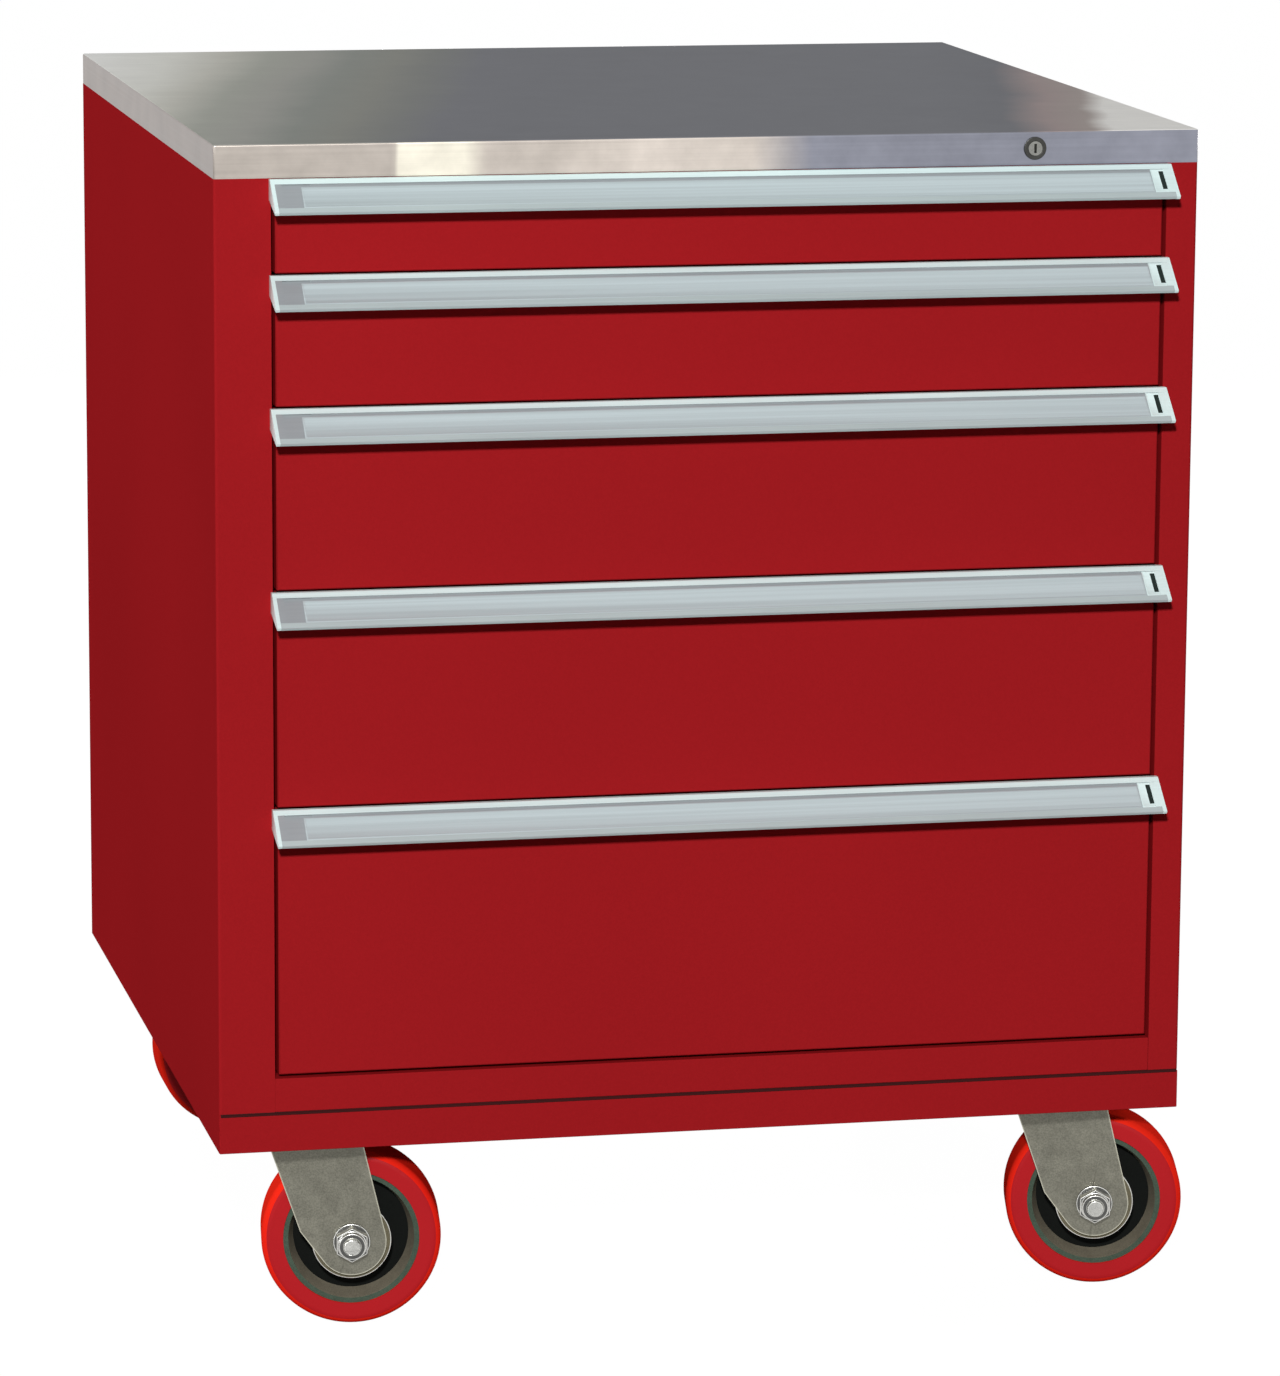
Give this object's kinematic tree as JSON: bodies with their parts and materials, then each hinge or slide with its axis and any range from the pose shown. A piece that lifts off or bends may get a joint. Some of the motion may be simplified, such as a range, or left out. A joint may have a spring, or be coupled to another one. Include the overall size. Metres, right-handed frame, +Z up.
{
  "type": "tool cabinet",
  "caption": "Rolling steel tool cabinet with full-width drawers of rising height, long aluminium pulls, a stainless worktop with a key lock, and swivel casters.",
  "frame": {"origin": "on the floor, below the middle of the whole object's box at rest", "axes": "+X right, +Y towards the back, +Z up; the drawers open along -Y"},
  "size_m": [0.7874, 0.794, 0.929],
  "materials": {
    "red_paint": "gloss powder coat",
    "steel_inner": "gloss powder coat, inner parts",
    "zinc": "zinc plated",
    "stainless": "brushed stainless sheet",
    "board": "raw particle board",
    "aluminium": "satin anodised",
    "lock_metal": "nickel plated",
    "fork_steel": "zinc plated pressed steel",
    "hub_iron": "painted cast iron",
    "tread": "cast polyurethane"
  },
  "bodies": {
    "root": {"left_side_panel": "red_paint", "right_side_panel": "red_paint", "left_front_post": "steel_inner", "right_front_post": "steel_inner", "back_panel": "red_paint", "bottom_rail": "red_paint", "base_frame": "red_paint", "bottom_pan": "steel_inner", "top_pan": "steel_inner", "worktop": "stainless", "worktop_core": "board", "slide_uprights": "zinc", "cabinet_rails": "zinc", "lock_body": "lock_metal", "caster_plates": "fork_steel", "caster_bolts": "zinc"},
    "drawer_1": {"drawer_1_box": "red_paint", "drawer_1_front": "red_paint", "drawer_1_pull": "aluminium", "drawer_1_runners": "zinc"},
    "drawer_1_middle": {"drawer_1_middles": "zinc"},
    "drawer_2": {"drawer_2_box": "red_paint", "drawer_2_front": "red_paint", "drawer_2_pull": "aluminium", "drawer_2_runners": "zinc"},
    "drawer_2_middle": {"drawer_2_middles": "zinc"},
    "drawer_3": {"drawer_3_box": "red_paint", "drawer_3_front": "red_paint", "drawer_3_pull": "aluminium", "drawer_3_runners": "zinc"},
    "drawer_3_middle": {"drawer_3_middles": "zinc"},
    "drawer_4": {"drawer_4_box": "red_paint", "drawer_4_front": "red_paint", "drawer_4_pull": "aluminium", "drawer_4_runners": "zinc"},
    "drawer_4_middle": {"drawer_4_middles": "zinc"},
    "drawer_5": {"drawer_5_box": "red_paint", "drawer_5_front": "red_paint", "drawer_5_pull": "aluminium", "drawer_5_runners": "zinc"},
    "drawer_5_middle": {"drawer_5_middles": "zinc"},
    "caster_fl_swivel": {"caster_fl_fork": "fork_steel", "caster_fl_axle": "zinc"},
    "caster_fl_wheel": {"caster_fl_hub": "hub_iron", "caster_fl_tyre": "tread"},
    "caster_fr_swivel": {"caster_fr_fork": "fork_steel", "caster_fr_axle": "zinc"},
    "caster_fr_wheel": {"caster_fr_hub": "hub_iron", "caster_fr_tyre": "tread"},
    "caster_rl_swivel": {"caster_rl_fork": "fork_steel", "caster_rl_axle": "zinc"},
    "caster_rl_wheel": {"caster_rl_hub": "hub_iron", "caster_rl_tyre": "tread"},
    "caster_rr_swivel": {"caster_rr_fork": "fork_steel", "caster_rr_axle": "zinc"},
    "caster_rr_wheel": {"caster_rr_hub": "hub_iron", "caster_rr_tyre": "tread"},
    "lock_plug": {"lock_plug": "lock_metal"},
    "transfer_bar": {"transfer_bar": "zinc"},
    "lock_bar": {"lock_bar": "zinc"}
  },
  "joints": [
    {"name": "drawer_1_slide", "type": "slide", "parent": "root", "child": "drawer_1", "axis": [0, -1, 0], "range_m": [0, 0.6]},
    {"name": "drawer_1_middle_slide", "type": "slide", "parent": "root", "child": "drawer_1_middle", "axis": [0, -1, 0], "range_m": [0, 0.3]},
    {"name": "drawer_2_slide", "type": "slide", "parent": "root", "child": "drawer_2", "axis": [0, -1, 0], "range_m": [0, 0.6]},
    {"name": "drawer_2_middle_slide", "type": "slide", "parent": "root", "child": "drawer_2_middle", "axis": [0, -1, 0], "range_m": [0, 0.3]},
    {"name": "drawer_3_slide", "type": "slide", "parent": "root", "child": "drawer_3", "axis": [0, -1, 0], "range_m": [0, 0.6]},
    {"name": "drawer_3_middle_slide", "type": "slide", "parent": "root", "child": "drawer_3_middle", "axis": [0, -1, 0], "range_m": [0, 0.3]},
    {"name": "drawer_4_slide", "type": "slide", "parent": "root", "child": "drawer_4", "axis": [0, -1, 0], "range_m": [0, 0.6]},
    {"name": "drawer_4_middle_slide", "type": "slide", "parent": "root", "child": "drawer_4_middle", "axis": [0, -1, 0], "range_m": [0, 0.3]},
    {"name": "drawer_5_slide", "type": "slide", "parent": "root", "child": "drawer_5", "axis": [0, -1, 0], "range_m": [0, 0.6]},
    {"name": "drawer_5_middle_slide", "type": "slide", "parent": "root", "child": "drawer_5_middle", "axis": [0, -1, 0], "range_m": [0, 0.3]},
    {"name": "caster_fl_turn", "type": "hinge", "parent": "root", "child": "caster_fl_swivel", "pos_m": [-0.31367, -0.285, 0.154], "axis": [0, 0, 1], "continuous": true},
    {"name": "caster_fl_roll", "type": "hinge", "parent": "caster_fl_swivel", "child": "caster_fl_wheel", "pos_m": [-0.28, -0.28973, 0.07], "axis": [0.1392, 0.9903, 0], "continuous": true},
    {"name": "caster_fr_turn", "type": "hinge", "parent": "root", "child": "caster_fr_swivel", "pos_m": [0.28833, -0.285, 0.154], "axis": [0, 0, 1], "continuous": true},
    {"name": "caster_fr_roll", "type": "hinge", "parent": "caster_fr_swivel", "child": "caster_fr_wheel", "pos_m": [0.32146, -0.29265, 0.07], "axis": [0.225, 0.9744, 0], "continuous": true},
    {"name": "caster_rl_turn", "type": "hinge", "parent": "root", "child": "caster_rl_swivel", "pos_m": [-0.31367, 0.317, 0.154], "axis": [0, 0, 1], "continuous": true},
    {"name": "caster_rl_roll", "type": "hinge", "parent": "caster_rl_swivel", "child": "caster_rl_wheel", "pos_m": [-0.27967, 0.317, 0.07], "axis": [0, 1, 0], "continuous": true},
    {"name": "caster_rr_turn", "type": "hinge", "parent": "root", "child": "caster_rr_swivel", "pos_m": [0.28833, 0.317, 0.154], "axis": [0, 0, 1], "continuous": true},
    {"name": "caster_rr_roll", "type": "hinge", "parent": "caster_rr_swivel", "child": "caster_rr_wheel", "pos_m": [0.32233, 0.317, 0.07], "axis": [0, 1, 0], "continuous": true},
    {"name": "lock_bar_lift", "type": "slide", "parent": "root", "child": "lock_bar", "axis": [0, 0, 1], "range_m": [0, 0.007]},
    {"name": "transfer_bar_slide", "type": "slide", "parent": "root", "child": "transfer_bar", "axis": [1, 0, 0], "range_m": [0, 0.03111]},
    {"name": "lock_turn", "type": "hinge", "parent": "root", "child": "lock_plug", "pos_m": [0.23833, -0.365, 0.91625], "axis": [0, -1, 0], "range_deg": [0, 90.02]}
  ],
  "couplings": [
    {"joint": "drawer_1_middle_slide", "follows": "drawer_1_slide", "ratio": 0.5},
    {"joint": "drawer_2_middle_slide", "follows": "drawer_2_slide", "ratio": 0.5},
    {"joint": "drawer_3_middle_slide", "follows": "drawer_3_slide", "ratio": 0.5},
    {"joint": "drawer_4_middle_slide", "follows": "drawer_4_slide", "ratio": 0.5},
    {"joint": "drawer_5_middle_slide", "follows": "drawer_5_slide", "ratio": 0.5},
    {"joint": "transfer_bar_slide", "follows": "lock_bar_lift", "ratio": 4.4447},
    {"joint": "lock_turn", "follows": "lock_bar_lift", "rad_per_m": 224.4}
  ]
}
